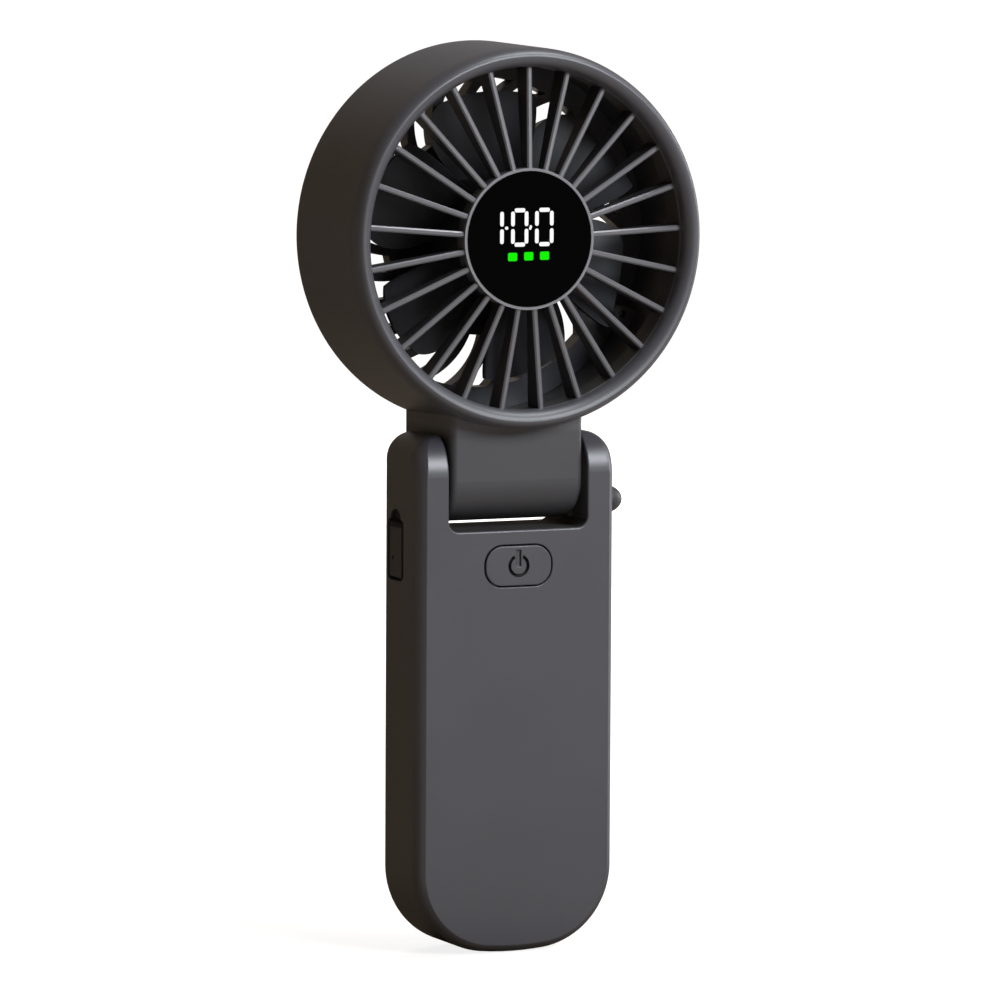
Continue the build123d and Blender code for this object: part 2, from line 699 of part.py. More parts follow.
def head_shell():
    """The drum with its rolled rim, moulded with the front half of the neck."""
    back = HEAD_HALF_D - BACK_EDGE_R
    with BuildSketch(HEAD_PLANE) as profile:
        with BuildLine():
            Polyline((HEAD_R - BACK_EDGE_R, HEAD_HALF_D), (DUCT_R, HEAD_HALF_D), (DUCT_R, LIP_BACK_Y))
            Polyline((DUCT_R, LIP_BACK_Y), (LIP_R, LIP_BACK_Y), (LIP_R, LIP_Y))
            crest = HEAD_HALF_D + LIP_Y
            EllipticalCenterArc((CREST_R, LIP_Y), CREST_R - LIP_R, crest, start_angle=180, arc_size=90)
            crest = HEAD_HALF_D + RIM_Y
            EllipticalCenterArc((CREST_R, RIM_Y), RIM_R - CREST_R, crest, start_angle=270, arc_size=90)
            Line((RIM_R, RIM_Y), (HEAD_R, back))
            CenterArc((HEAD_R - BACK_EDGE_R, back), BACK_EDGE_R, 0, 90)
        make_face()
    drum = revolve(profile.sketch, HEAD_AXIS)
    shell = drum + (neck_half(True) - disc(DUCT_R, -HANDLE_D, HANDLE_D))
    boss = rear_boss() & disc(HEAD_R - BACK_EDGE_R, -HANDLE_D, HANDLE_D)
    shell = shell + around_head(boss, REAR_SCREWS)
    length, width, height = WIRE_SLOT
    middle = HEAD_Z - (DUCT_R + HEAD_R) / 2
    slot_z = (middle - height / 2, middle + height / 2)
    return shell - block(-length / 2, length / 2, WIRE_SLOT_Y, WIRE_SLOT_Y + width, *slot_z)


def neck_rear_cover():
    """The rear half of the neck, a separate cover under the drum."""
    return neck_half(False) - drum_block(FIT)


def spoke():
    """One straight spoke pointing up, deeper at the rim than at the hub."""
    half = SPOKE_W / 2
    ends = []
    for radius, front, back in (SPOKE_INNER, SPOKE_OUTER):
        plane = Plane((0, 0, HEAD_Z + radius), x_dir=(1, 0, 0), z_dir=(0, 0, 1))
        low = front + SPOKE_CHAMFER
        inner = half - SPOKE_CHAMFER
        points = [(-half, back), (-half, low), (-inner, front), (inner, front), (half, low), (half, back)]
        ends.append(plane * make_face(Polyline(*points, close=True)))
    return loft(ends, ruled=True)


def front_grille():
    """The spokes with the ring that seats behind the lip and the cup of the display."""
    ring = tube(LIP_R, DUCT_R - DUCT_GAP, LIP_BACK_Y + DUCT_GAP / 2, GRILLE_RING_BACK_Y)
    cup = disc(HUB_R, HUB_FRONT_Y, HUB_BACK_Y)
    grille = cup + ring + around_head(spoke().rotate(HEAD_AXIS, SPOKE_PHASE), SPOKES)
    lens_back = HUB_FRONT_Y + LENS_RECESS + LENS_T
    grille = grille - disc(LENS_SEAT_R, HUB_FRONT_Y - OVERCUT, lens_back)
    return grille - disc(HUB_CAVITY_R, HUB_FRONT_Y, HUB_BACK_Y - HUB_FLOOR)


def display_lens():
    """The smoked black window over the display."""
    front = HUB_FRONT_Y + LENS_RECESS
    return disc(LENS_R, front, front + LENS_T)


def led_display():
    """The block of the lit digits."""
    back = HUB_BACK_Y - HUB_FLOOR - DISPLAY_BOARD_T
    return disc(DISPLAY_R, back - DISPLAY_T, back)


def display_board():
    """The round board that carries the digits."""
    back = HUB_BACK_Y - HUB_FLOOR
    return disc(DISPLAY_BOARD_R, back - DISPLAY_BOARD_T, back)


def polar(radius, angle):
    """A point of the front view at a radius and an angle from straight up."""
    return (radius * sin(radians(angle)), radius * cos(radians(angle)))


def rear_grille():
    """The rear guard: a ring, a motor plate and swirling ribs."""
    inner_r = REAR_HUB_R - RIB_W
    outer_r = REAR_OPEN_R + RIB_W
    middle = polar((inner_r + outer_r) / 2, -RIB_MID_TWIST)
    arc = ThreePointArc(polar(inner_r, 0), middle, polar(outer_r, -RIB_TWIST))
    rib = slab(Pos(0, HEAD_Z) * trace(arc, RIB_W), RIB_FRONT_Y, RIB_BACK_Y)
    plate = disc(REAR_HUB_R, *REAR_HUB_Y)
    plate = fillet(plate.faces().sort_by(Axis.Y)[-1].edges(), REAR_HUB_EDGE_R)
    front, back = REAR_HUB_Y
    recess_r = REAR_HUB_R - REAR_HUB_WALL
    plate = plate - tube(MOTOR_SEAT_R, recess_r, front - OVERCUT, back - REAR_HUB_WALL)
    ring = tube(REAR_OPEN_R, DUCT_R - DUCT_GAP, REAR_RING_Y, HEAD_HALF_D)
    guard = plate + ring + around_head(rib, REAR_RIBS)
    seat = HEAD_HALF_D - SCREW_HEAD_T - SEAM
    place = (0, HEAD_Z + REAR_BOSS_AT)
    hole = disc(SCREW_R + 2 * SCREW_FIT, REAR_RING_Y - OVERCUT, HEAD_HALF_D, *place)
    hole = hole + disc(SCREW_HEAD_R + SEAM, seat, HEAD_HALF_D + OVERCUT, *place)
    return guard - around_head(hole, REAR_SCREWS)


def rear_grille_screws():
    """The three screws of the rear grille."""
    seat = HEAD_HALF_D - SCREW_HEAD_T - SEAM
    first = screw(0, HEAD_Z + REAR_BOSS_AT, seat, REAR_BOSS_Y[0] + SCREW_TIP_GAP)
    return Compound(children=around_head(first, REAR_SCREWS))


def blade():
    """One swept and twisted blade pointing up, lofted through its cambered sections."""
    sections = []
    for radius, trail, lead, half_depth in BLADE_SECTIONS:
        chord = Vector(trail - lead, -2 * half_depth)
        plane = Plane(((trail + lead) / 2, 0, HEAD_Z + radius), x_dir=chord, z_dir=(0, 0, 1))
        end = chord.length / 2
        edge = BLADE_EDGE_T / 2
        with BuildSketch(plane) as section:
            with BuildLine():
                ThreePointArc((-end, -edge), (0, BLADE_CAMBER - BLADE_T / 2), (end, -edge))
                Line((end, -edge), (end, edge))
                ThreePointArc((end, edge), (0, BLADE_CAMBER + BLADE_T / 2), (-end, edge))
                Line((-end, edge), (-end, -edge))
            make_face()
        sections.append(section.sketch)
    return loft(sections) & disc(BLADE_TIP_R, -HANDLE_D, HANDLE_D)


def impeller():
    """The cup-shaped hub and its broad blades, one moulding."""
    front, back = IMPELLER_HUB_Y
    hub = disc(IMPELLER_HUB_R, front, back)
    hub = fillet(hub.faces().sort_by(Axis.Y)[0].edges(), IMPELLER_NOSE_R)
    wheel = hub + [piece.rotate(HEAD_AXIS, BLADE_PHASE) for piece in around_head(blade(), BLADES)]
    return wheel - disc(IMPELLER_HUB_R - IMPELLER_HUB_WALL, front + IMPELLER_HUB_WALL, back + OVERCUT)


def rotor_can():
    """The drawn steel can inside the impeller's hub."""
    front, back = CAN_Y
    can = disc(CAN_R, front, back) - disc(CAN_R - CAN_T, front + CAN_T, back + OVERCUT)
    can = can + disc(CAN_BOSS_R, front, CAN_BOSS_BACK_Y)
    return can - disc(SHAFT_R + PRESS, front - OVERCUT, back)


def magnet_ring():
    """The ring magnet glued into the can."""
    return tube(*MAGNET_R, *MAGNET_Y)


def motor_shaft():
    """The steel shaft, grooved for its clip."""
    groove = tube(SHAFT_R - CLIP_GROOVE, SHAFT_R + OVERCUT, *CLIP_Y)
    return disc(SHAFT_R, *SHAFT_Y) - groove


def shaft_clip():
    """The retaining ring in the shaft's groove, behind the rear bearing."""
    return tube(SHAFT_R - CLIP_GROOVE + PRESS, CLIP_R, CLIP_Y[0] + PRESS, CLIP_Y[1] - PRESS)


def stator_core():
    """The toothed iron core: a yoke, its teeth and their curved shoes."""
    shoe_r = STATOR_R - TOOTH_RIM
    shape = Circle(STATOR_R) - Circle(shoe_r)
    pitch = 360 / STATOR_TEETH
    for i in range(STATOR_TEETH):
        gap = Pos(0, STATOR_R) * Rectangle(TOOTH_GAP, STATOR_R - YOKE_R)
        shape = shape - Rot(0, 0, (i + 0.5) * pitch) * gap
    shape = shape + (Circle(YOKE_R) - Circle(TUBE_STEPS[0][0] + PRESS))
    middle = (YOKE_R + shoe_r) / 2
    for i in range(STATOR_TEETH):
        tooth = Pos(0, middle) * Rectangle(TOOTH_W, shoe_r - YOKE_R + TOOTH_RIM)
        shape = shape + Rot(0, 0, i * pitch) * tooth
    return slab(Pos(0, HEAD_Z) * shape, *STATOR_Y)


def stator_windings():
    """One coil round each tooth."""
    inner = TOOTH_W / 2 + COIL_CLEAR
    outer = inner + COIL_T
    front, back = STATOR_Y[0] - COIL_CLEAR, STATOR_Y[1] + COIL_CLEAR
    low, high = HEAD_Z + COIL_R[0], HEAD_Z + COIL_R[1]
    coil = block(-outer, outer, front - COIL_T, back + COIL_T, low, high)
    coil = coil - block(-inner, inner, front, back, low - OVERCUT, high + OVERCUT)
    return Compound(children=around_head(coil, STATOR_TEETH))


def bearing_tube():
    """The stepped post that carries the bearings, the core and the motor board."""
    post = disc(*TUBE_STEPS[0], TUBE_BACK_Y)
    for radius, front in TUBE_STEPS[1:]:
        post = post + disc(radius, front, TUBE_BACK_Y)
    return post - disc(TUBE_BORE_R, TUBE_STEPS[0][1] - OVERCUT, SHAFT_Y[1] + TUBE_END_GAP)


def bearing(front):
    """A plain bearing bush in the tube."""
    return tube(BEARING_BORE_R, BEARING_R, front, front + BEARING_W)


def front_bearing():
    """The bush behind the can."""
    return bearing(FRONT_BEARING_Y)


def rear_bearing():
    """The bush in front of the clip."""
    return bearing(REAR_BEARING_Y)


def motor_board():
    """The ring-shaped board that drives the coils."""
    return tube(*MOTOR_BOARD_R, *MOTOR_BOARD_Y)


PARTS = (
    handle_body, handle_back_cover, back_cover_screws, battery_cell, battery_tape, battery_foam,
    main_board, board_screws, board_components, power_switch, usb_socket, lanyard_post,
    hinge_washer_left, hinge_washer_right, head_shell, neck_rear_cover, neck_screws,
    hinge_axle_left, hinge_axle_right, friction_springs, front_grille, display_lens, led_display,
    display_board, rear_grille, rear_grille_screws, bearing_tube, front_bearing, rear_bearing,
    stator_core, stator_windings, motor_board, impeller, rotor_can, magnet_ring, motor_shaft,
    shaft_clip, power_button, switch_plunger, port_cover,
)

os.makedirs("parts", exist_ok=True)
for make in PARTS:
    export_step(make(), f"parts/{make.__name__}.step")
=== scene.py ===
import bmesh
import bpy
import numpy as np
from mathutils import Matrix, Vector


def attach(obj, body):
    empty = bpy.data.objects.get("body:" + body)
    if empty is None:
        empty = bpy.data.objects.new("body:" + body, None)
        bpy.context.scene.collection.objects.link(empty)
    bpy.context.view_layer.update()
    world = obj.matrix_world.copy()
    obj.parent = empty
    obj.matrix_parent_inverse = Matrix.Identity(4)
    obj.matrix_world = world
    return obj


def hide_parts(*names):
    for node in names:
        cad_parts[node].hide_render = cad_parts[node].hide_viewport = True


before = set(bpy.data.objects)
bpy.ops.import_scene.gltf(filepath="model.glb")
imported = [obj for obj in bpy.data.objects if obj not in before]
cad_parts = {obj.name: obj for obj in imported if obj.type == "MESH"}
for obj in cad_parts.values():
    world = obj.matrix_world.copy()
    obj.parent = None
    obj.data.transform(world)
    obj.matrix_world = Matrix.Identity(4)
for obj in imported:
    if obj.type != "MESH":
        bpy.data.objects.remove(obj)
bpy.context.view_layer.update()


# Handle tub, moulded in one piece with the two arms of the fork. Dark grey ABS
# with a fine satin grain from the mould; everything else is fixed to it. The
# floor of the fork's slot and the notch above the charging port are painted
# darker: painted shade.
MM = 0.001
MIX_SHARE, MIX_FIRST, MIX_SECOND, MIX_RESULT = 0, 6, 7, 2  # sockets of a Mix node for colours
FINISH_IN = {"Colour": "Color", "Fineness": "Float", "Roughness": "Float"}
FINISH_OUT = {"Colour": "Color", "Roughness": "Float", "Height": "Float"}
BOX_IN = {"Low": "Vector", "High": "Vector", "Soft": "Float", "Outside": "Float"}
TINT_IN = {"Colour": "Color", "Roughness": "Float", "Mask": "Float", "Tint": "Color", "Duller": "Float"}
# The recess grey is painted shade, laid on recesses, gaps and the cuts of the power sign.
SHELL_GREY, PAINTED_RECESS_SHADE = (0.060, 0.060, 0.071), (0.012, 0.011, 0.011)
SHELL_FINISH = {"roughness": 0.37, "fineness": 5000.0, "depth": 0.02, "specular": 0.85}
SLOT_FLOOR = (-16.5, -9.3, 90.0), (16.5, 9.3, 92.6)
PORT_NOTCH = (-22.85, -0.1, 91.6), (-20.5, 5.9, 95.4)


def put(tree, kind, inputs=(), **settings):
    """Adds one node, sets its properties, and fills or links its inputs."""
    node = tree.nodes.new(kind)
    for key, value in settings.items():
        setattr(node, key, value)
    for key, value in dict(inputs).items():
        if isinstance(value, bpy.types.NodeSocket):
            tree.links.new(value, node.inputs[key])
        else:
            node.inputs[key].default_value = value
    return node


def work_out(tree, operation, *values):
    """The result of one operation on numbers or on the outputs of other nodes."""
    return put(tree, "ShaderNodeMath", dict(enumerate(values)), operation=operation).outputs["Value"]


def work_out_vector(tree, operation, *values):
    """The result of one operation on vectors or on the outputs of other nodes."""
    return put(tree, "ShaderNodeVectorMath", dict(enumerate(values)), operation=operation).outputs["Vector"]


def ramp(tree, value, start, end, low=0.0, high=1.0):
    """A straight ramp from low to high as a value runs from start to end, level beyond them."""
    return put(tree, "ShaderNodeMapRange", {"Value": value, "From Min": start, "From Max": end,
                                            "To Min": low, "To Max": high}).outputs["Result"]


def own_space(tree):
    """A point's place in the object's own space, in metres."""
    return put(tree, "ShaderNodeTexCoord").outputs["Object"]


def noise(tree, place, scale, detail):
    """Soft noise from 0 to 1 over a place."""
    return put(tree, "ShaderNodeTexNoise", {"Vector": place, "Scale": scale, "Detail": detail}).outputs["Fac"]


def new_group(name, inputs, outputs):
    """An empty node group with float, colour or vector sockets, and its two end nodes."""
    group = bpy.data.node_groups.new(name, "ShaderNodeTree")
    for side, sockets in (("INPUT", inputs), ("OUTPUT", outputs)):
        for label, kind in sockets.items():
            group.interface.new_socket(label, in_out=side, socket_type=f"NodeSocket{kind}")
    return group, group.nodes.new("NodeGroupInput").outputs, group.nodes.new("NodeGroupOutput").inputs


def fill_outputs(group, out, **sockets):
    """Links each named output of a group to the socket that feeds it."""
    for label, socket in sockets.items():
        group.links.new(socket, out[label])
    return group


def mottle(tree, colour, value, low, high):
    """A colour times a factor that runs from low to high as a value runs from 0 to 1."""
    shade = ramp(tree, value, 0.0, 1.0, low, high)
    return put(tree, "ShaderNodeMix", {MIX_SHARE: 1.0, MIX_FIRST: colour, MIX_SECOND: shade},
               data_type="RGBA", blend_type="MULTIPLY").outputs[MIX_RESULT]


def drifting(tree, base, value, reach):
    """A number that wanders by a reach below and above its base as a value runs from 0 to 1."""
    return work_out(tree, "ADD", base, ramp(tree, value, 0.0, 1.0, -reach, reach))


def moulded_grain():
    """Fine noise raises the grain; a broad noise, as from handling, shifts colour and roughness."""
    group, given, out = new_group("moulded_grain", FINISH_IN, FINISH_OUT)
    place = own_space(group)
    fine = noise(group, place, given["Fineness"], detail=2.0)
    broad = noise(group, place, scale=55.0, detail=3.0)
    return fill_outputs(group, out, Height=fine,
                        Colour=mottle(group, given["Colour"], broad, low=0.94, high=1.06),
                        Roughness=drifting(group, given["Roughness"], broad, reach=0.05))


def box_mask():
    """1 between two corners in millimetres of the object's own space and 0 beyond them, by the depth
    below the nearest side along each axis; the reverse where Outside is 1."""
    group, given, out = new_group("box_mask", BOX_IN, {"Mask": "Float"})
    place = work_out_vector(group, "MULTIPLY", own_space(group), (1 / MM, 1 / MM, 1 / MM))
    above = work_out_vector(group, "SUBTRACT", place, given["Low"])
    below = work_out_vector(group, "SUBTRACT", given["High"], place)
    depth = work_out_vector(group, "MINIMUM", above, below)
    minus = work_out(group, "MULTIPLY", given["Soft"], -1.0)
    mask = 1.0
    for side in put(group, "ShaderNodeSeparateXYZ", {0: depth}).outputs:
        mask = work_out(group, "MULTIPLY", mask, ramp(group, side, minus, given["Soft"]))
    turned = work_out(group, "SUBTRACT", given["Outside"], mask)
    return fill_outputs(group, out, Mask=work_out(group, "ABSOLUTE", turned))


def tinted():
    """Where a mask is 1, a surface takes another colour and its roughness grows."""
    group, given, out = new_group("tinted", TINT_IN, {"Colour": "Color", "Roughness": "Float"})
    mixed = put(group, "ShaderNodeMix", {MIX_SHARE: given["Mask"], MIX_FIRST: given["Colour"],
                                         MIX_SECOND: given["Tint"]}, data_type="RGBA")
    dulled = work_out(group, "MULTIPLY_ADD", given["Mask"], given["Duller"], given["Roughness"])
    return fill_outputs(group, out, Colour=mixed.outputs[MIX_RESULT], Roughness=dulled)


def finish(name, group, colour, roughness, fineness, depth, metallic=0.0, specular=0.5):
    """A surface whose colour, roughness and relief, some depth in millimetres, come from a finish group."""
    material = bpy.data.materials.new(name)
    material.use_nodes = True
    tree = material.node_tree
    shader = tree.nodes["Principled BSDF"]
    shader.inputs["Metallic"].default_value = metallic
    shader.inputs["Specular IOR Level"].default_value = specular
    skin = put(tree, "ShaderNodeGroup", {"Colour": (*colour, 1.0), "Fineness": fineness,
                                         "Roughness": roughness}, node_tree=group).outputs
    relief = put(tree, "ShaderNodeBump", {"Height": skin["Height"], "Distance": depth * MM, "Strength": 0.3})
    tree.links.new(skin["Colour"], shader.inputs["Base Color"])
    tree.links.new(skin["Roughness"], shader.inputs["Roughness"])
    tree.links.new(relief.outputs["Normal"], shader.inputs["Normal"])
    return material


def tint(material, mask, colour, duller):
    """Lays a tint over a surface where a mask is 1."""
    tree = material.node_tree
    shader = tree.nodes["Principled BSDF"]
    base, rough = shader.inputs["Base Color"], shader.inputs["Roughness"]
    layer = put(tree, "ShaderNodeGroup", {"Colour": base.links[0].from_socket, "Mask": mask,
                                          "Roughness": rough.links[0].from_socket,
                                          "Tint": (*colour, 1.0), "Duller": duller}, node_tree=TINTED)
    tree.links.new(layer.outputs["Colour"], base)
    tree.links.new(layer.outputs["Roughness"], rough)


def tint_box(material, low, high, colour, soft, duller, outside=0.0):
    """Lays a tint over a surface inside a box, or outside it."""
    mask = put(material.node_tree, "ShaderNodeGroup", {"Low": low, "High": high, "Soft": soft,
                                                       "Outside": outside}, node_tree=BOX_MASK)
    tint(material, mask.outputs["Mask"], colour, duller)


def dress(material, *names):
    """Gives CAD nodes a material in place of their own."""
    for name in names:
        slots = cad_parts[name].data.materials
        slots.clear()
        slots.append(material)


GRAIN, BOX_MASK, TINTED = moulded_grain(), box_mask(), tinted()
tub_plastic = finish("tub_plastic", GRAIN, SHELL_GREY, **SHELL_FINISH)
# Painted shade: the slot floor and the port's notch are painted darker.
for low, high in (SLOT_FLOOR, PORT_NOTCH):
    tint_box(tub_plastic, low, high, PAINTED_RECESS_SHADE, soft=0.2, duller=0.55)
dress(tub_plastic, "handle_body")


# Back cover, a flush panel of the same plastic, held by four cross-head steel
# screws that are driven from behind into posts of the tub.
SCREW_HEAD_R, SCREW_HEAD_T, SCREW_R, SCREW_PITCH = 1.6, 0.9, 0.75, 0.5
HEAD_EDGE_R, HEAD_CROWN, HEAD_SHOULDER = 0.15, 0.1, 0.25
PIT_DEPTH, PIT_HALF_W, PIT_REACH, PIT_SIDE_WALL, PIT_END_WALL = 0.5, 0.24, 1.05, 0.08, 0.15
THREAD_DEPTH, TIP_LENGTH, TIP_R = 0.16, 0.6, 0.3
ROUND = np.linspace(0.0, 2 * np.pi, 96, endpoint=False)
COVER_SCREWS = (-11.0, 9.4), (11.0, 9.4), (-16.0, 64.4), (16.0, 64.4)
COVER_SEAT_Y, COVER_TIP_Y = 8.75, 1.0
WELD_REACH, SHARP_EDGE = 1e-7, np.radians(38.0)


def skin_mesh(name, grids, material, body, *stands_for):
    """Grids of points (rows, columns, 3; millimetres) whose columns wrap round, welded into one mesh."""
    faces, first = [], 0
    for grid in grids:
        rows, columns = grid.shape[:2]
        corner = first + np.arange(rows * columns).reshape(rows, columns)
        beside = np.roll(corner, -1, axis=1)
        faces.append(np.stack([corner[:-1], beside[:-1], beside[1:], corner[1:]], axis=-1).reshape(-1, 4))
        first += rows * columns
    points = np.concatenate([grid.reshape(-1, 3) for grid in grids]) * MM
    mesh = bpy.data.meshes.new(name)
    mesh.from_pydata(points.tolist(), [], np.concatenate(faces).tolist())
    welded = bmesh.new()
    welded.from_mesh(mesh)
    bmesh.ops.remove_doubles(welded, verts=welded.verts, dist=WELD_REACH)
    bmesh.ops.recalc_face_normals(welded, faces=welded.faces)
    welded.to_mesh(mesh)
    welded.free()
    mesh.materials.append(material)
    mesh.shade_smooth()
    mesh.set_sharp_from_angle(angle=SHARP_EDGE)
    piece = bpy.data.objects.new(name, mesh)
    bpy.context.scene.collection.objects.link(piece)
    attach(piece, body)
    if stands_for:
        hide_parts(*stands_for)
    return piece


def turned_metal():
    """Noise stretched along Z leaves the fine lines of drawn or turned metal; a finer one its haze."""
    group, given, out = new_group("turned_metal", FINISH_IN, FINISH_OUT)
    place = own_space(group)
    drawn = put(group, "ShaderNodeMapping", {"Vector": place, "Scale": (1.0, 1.0, 0.06)})
    lines = noise(group, drawn.outputs["Vector"], given["Fineness"], detail=3.0)
    haze = noise(group, place, scale=300.0, detail=3.0)
    return fill_outputs(group, out, Height=lines,
                        Colour=mottle(group, given["Colour"], lines, low=0.85, high=1.1),
                        Roughness=drifting(group, given["Roughness"], haze, reach=0.12))


def ease(value):
    """A smooth step from 0 to 1 as the value runs from 0 to 1: three squares less two cubes."""
    value = np.clip(value, 0.0, 1.0)
    return value * value * (3 - 2 * value)


def screw_skin(x, z, seat_y, tip_y):
    """Lathe about Y: a domed head less a cross-shaped pit, then a shank whose radius ripples as a helix."""
    crown_r = np.linspace(0.0, SCREW_HEAD_R - HEAD_EDGE_R, 22)[:, None]
    arm = np.minimum(np.abs(crown_r * np.cos(ROUND)), np.abs(crown_r * np.sin(ROUND)))
    pit = PIT_DEPTH * ease((PIT_HALF_W - arm) / PIT_SIDE_WALL) * ease((PIT_REACH - crown_r) / PIT_END_WALL)
    crown_y = seat_y + SCREW_HEAD_T - HEAD_CROWN * (crown_r / SCREW_HEAD_R) ** 2 - pit
    turn = np.linspace(0.0, np.pi / 2, 6)[1:, None]
    edge_r = SCREW_HEAD_R - HEAD_EDGE_R + HEAD_EDGE_R * np.sin(turn) + 0 * ROUND
    edge_y = seat_y + SCREW_HEAD_T - HEAD_SHOULDER + HEAD_EDGE_R * np.cos(turn) + 0 * ROUND
    shank_y = np.linspace(seat_y, tip_y + TIP_LENGTH, 60)[:, None] + 0 * ROUND
    wave = np.abs((shank_y / SCREW_PITCH + ROUND / (2 * np.pi)) % 1.0 - 0.5) * 2
    shank_r = SCREW_R - THREAD_DEPTH * wave
    foot_r = np.array([SCREW_HEAD_R, SCREW_R])[:, None] + 0 * ROUND
    end_r = np.array([TIP_R, 0.0])[:, None] + 0 * ROUND
    radius = np.concatenate([crown_r + 0 * ROUND, edge_r, foot_r, shank_r, end_r])
    height = np.concatenate([crown_y, edge_y, 0 * foot_r + seat_y, shank_y, 0 * end_r + tip_y])
    return np.stack([x + radius * np.cos(ROUND), height, z + radius * np.sin(ROUND)], axis=-1)


def cross_screws(name, places, seat_y, tip_y, body, stands_for):
    """Like screws at places (x, z), each with its head on a seat and its tip further forward."""
    screws = skin_mesh(name, [screw_skin(x, z, seat_y, tip_y) for x, z in places], steel, body, stands_for)


TURNED = turned_metal()
shell_plastic = finish("shell_plastic", GRAIN, SHELL_GREY, **SHELL_FINISH)
steel = finish("steel", TURNED, (0.55, 0.55, 0.56), roughness=0.3, fineness=4000.0, depth=0.01, metallic=1.0)
dress(shell_plastic, "handle_back_cover")
cross_screws("back_cover_cross_screws", COVER_SCREWS, COVER_SEAT_Y, COVER_TIP_Y,
             "handle", "back_cover_screws")


# Battery, a flat pouch cell in crinkled aluminium laminate. Black foam tape
# holds it to the front wall, and a foam pad under the back cover presses on it.
def crinkled_foil():
    """Cell borders make the creases of a laminate pouch, a noise its haze."""
    group, given, out = new_group("crinkled_foil", FINISH_IN, FINISH_OUT)
    place = own_space(group)
    crease = put(group, "ShaderNodeTexVoronoi", {"Vector": place, "Scale": given["Fineness"]},
                 feature="DISTANCE_TO_EDGE")
    haze = noise(group, place, scale=90.0, detail=4.0)
    return fill_outputs(group, out, Height=crease.outputs["Distance"],
                        Colour=mottle(group, given["Colour"], haze, low=0.9, high=1.05),
                        Roughness=drifting(group, given["Roughness"], haze, reach=0.1))


CRINKLED = crinkled_foil()
battery_foil = finish("battery_foil", CRINKLED, (0.62, 0.62, 0.64), roughness=0.32, fineness=220.0,
                      depth=0.2, metallic=1.0)
foam_black = finish("foam_black", CRINKLED, (0.03, 0.03, 0.03), roughness=0.85, fineness=1800.0, depth=0.4)
dress(battery_foil, "battery_cell")
dress(foam_black, "battery_tape", "battery_foam")


# Main board, green solder mask over copper tracks, on two posts behind the
# button, with its chips, boost coil, tact switch and the switch's plunger.
BLACK, WHITE = (0.0, 0.0, 0.0, 1.0), (1.0, 1.0, 1.0, 1.0)
BOARD_SCREWS = (-15.0, 71.0), (15.0, 71.0)
BOARD_SEAT_Y, BOARD_TIP_Y = 1.25, -4.95


def solder_mask():
    """A brick pattern stands for the copper tracks under the mask, paler and a little raised."""
    group, given, out = new_group("solder_mask", FINISH_IN, FINISH_OUT)
    flat = put(group, "ShaderNodeMapping", {"Vector": own_space(group), "Rotation": (np.pi / 2, 0.0, 0.0)})
    tracks = put(group, "ShaderNodeTexBrick", {"Vector": flat.outputs["Vector"], "Scale": given["Fineness"],
                                               "Color1": BLACK, "Color2": BLACK, "Mortar": WHITE,
                                               "Mortar Size": 0.03, "Mortar Smooth": 0.2}).outputs["Fac"]
    return fill_outputs(group, out, Height=tracks,
                        Colour=mottle(group, given["Colour"], tracks, low=0.85, high=1.7),
                        Roughness=drifting(group, given["Roughness"], tracks, reach=0.06))


SOLDER_MASK = solder_mask()
board_green = finish("board_green", SOLDER_MASK, (0.02, 0.13, 0.05), roughness=0.3, fineness=160.0,
                     depth=0.05)
component_black = finish("component_black", GRAIN, (0.02, 0.02, 0.022), roughness=0.5, fineness=9000.0,
                         depth=0.01)
dress(board_green, "main_board")
dress(component_black, "board_components", "power_switch", "switch_plunger")
cross_screws("board_cross_screws", BOARD_SCREWS, BOARD_SEAT_Y, BOARD_TIP_Y, "handle", "board_screws")


# Charging socket, a rolled steel shell behind a soft rubber cover that turns on
# its lower edge and is lifted by a finger notch. The cover's edges round its face
# are painted dark as painted shade of the gap.
COVER_FACE = (-24.0, -0.1, 80.3), (-22.8, 5.9, 91.2)
cover_rubber = finish("cover_rubber", GRAIN, (0.062, 0.058, 0.058), roughness=0.62, fineness=7000.0,
                      depth=0.02)
# Painted shade: the cover is painted dark outside its face, standing in for the shadow in the gap round it.
tint_box(cover_rubber, *COVER_FACE, PAINTED_RECESS_SHADE, soft=0.1, duller=0.3, outside=1.0)
dress(steel, "usb_socket")
dress(cover_rubber, "port_cover")


# Power button, a loose cap of the shell's plastic with the power sign cut into
# its face. A flange keeps it in its hole and a stem rests on the switch. The
# walls of the sign's cuts and the floor of its ring are painted dark: painted shade.
BUTTON_Z, BUTTON_FACE_Y = 83.3, -9.9
BUTTON_HALF_W, BUTTON_HALF_H, BUTTON_CORNER, BUTTON_EDGE_R = 7.65, 4.25, 3.85, 0.25
FLANGE_FRONT_Y, FLANGE_BACK_Y, FLANGE_REACH = -7.85, -7.05, 1.05
STEM_R, STEM_END_Y = 2.0, -4.25
SIGN_CLEAR_R = 3.7
SIGN_RING_R, SIGN_RING_HALF_W, SIGN_RING_GAP = 2.13, 0.3, np.radians(28.0)
SIGN_RING_DEPTH, SIGN_RING_WALL = 0.8, 0.14
SIGN_BAR_HALF_W, SIGN_BAR_TOP, SIGN_BAR_FOOT = 0.45, 3.3, -0.1
SIGN_BAR_DEPTH, SIGN_BAR_WALL = 0.45, 0.4
SIGN_PAINTED_SHADE_LAYERS = (-9.82, -9.52), (-9.35, -8.9)
SWEEP = np.linspace(0.0, 2 * np.pi, 600, endpoint=False)
TINY = 1e-9


